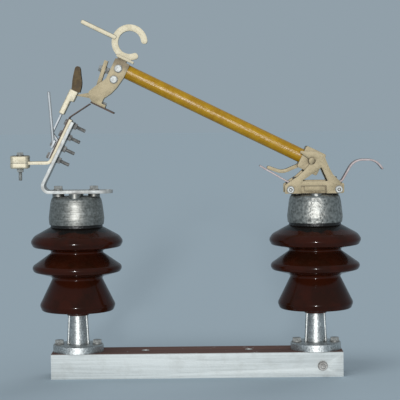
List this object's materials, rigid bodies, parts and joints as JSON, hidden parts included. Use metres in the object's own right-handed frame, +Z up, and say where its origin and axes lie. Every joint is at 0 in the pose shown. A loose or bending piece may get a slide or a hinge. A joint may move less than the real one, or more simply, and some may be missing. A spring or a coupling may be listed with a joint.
{
  "type": "drop-out fuse cutout",
  "caption": "Line fuse cutout: a hinged fuse tube with a pull ring spans two brown post insulators on a steel channel and drops open about its lower pin.",
  "frame": {"origin": "on the floor plane below the middle of the channel, which is the middle of the object's box", "axes": "+X along the channel from the upper contact to the hinge, +Y to the back, +Z up"},
  "size_m": [0.5946, 0.1464, 0.5697],
  "materials": {
    "galvanised_channel": "hot-dip galvanised",
    "galvanised_strap": "galvanised",
    "cast_zinc": "galvanised casting",
    "zinc_fastener": "zinc plated",
    "dark_fastener": "blackened",
    "brown_porcelain": "brown glaze",
    "black_seal": "bituminous black",
    "plated_brass": "tinned and yellowed",
    "copper_leaf": "tarnished copper",
    "copper_spring": "phosphor bronze",
    "bronze_tongue": "brown bronze",
    "spring_steel": "bright",
    "amber_tube": "varnished glass fibre"
  },
  "bodies": {
    "base": {"base_channel": "galvanised_channel", "earth_stud": "zinc_fastener", "left_pedestal": "cast_zinc", "right_pedestal": "cast_zinc", "left_flange_bolts": "zinc_fastener", "right_flange_bolts": "zinc_fastener", "left_porcelain": "brown_porcelain", "right_porcelain": "brown_porcelain", "left_seal_ring": "black_seal", "right_seal_ring": "black_seal", "left_cap": "cast_zinc", "right_cap": "cast_zinc", "upper_bracket": "galvanised_strap", "bracket_cap_bolts": "zinc_fastener", "bracket_bolts": "zinc_fastener", "terminal_strip": "plated_brass", "terminal_clamp_upper": "plated_brass", "terminal_clamp_lower": "plated_brass", "terminal_bolt": "zinc_fastener", "contact_leaf": "copper_leaf", "spring_arm": "spring_steel", "contact_block": "plated_brass", "lead_in_tongue": "bronze_tongue", "arcing_horn": "spring_steel", "hinge_front_cheek": "plated_brass", "hinge_rear_cheek": "plated_brass", "hinge_base": "plated_brass", "hinge_cross_bolts": "zinc_fastener", "hinge_cap_bolts": "dark_fastener", "ejector_strip": "copper_spring", "buffer_strip": "copper_spring"},
    "fuse_carrier": {"fuse_tube": "amber_tube", "hinge_block": "plated_brass", "trunnion_pins": "plated_brass", "lever_finger": "plated_brass", "top_casting": "plated_brass", "casting_bolts": "zinc_fastener", "operating_ring": "plated_brass", "ring_prong": "plated_brass", "link_clamp_tab": "plated_brass", "link_clamp_bolt": "zinc_fastener", "contact_plate": "copper_leaf", "plate_screw": "zinc_fastener"}
  },
  "joints": [
    {"name": "carrier_swing", "type": "hinge", "parent": "base", "child": "fuse_carrier", "pos_m": [0.1849, 0, 0.3425], "axis": [0, 1, 0], "range_deg": [0, 140]}
  ]
}
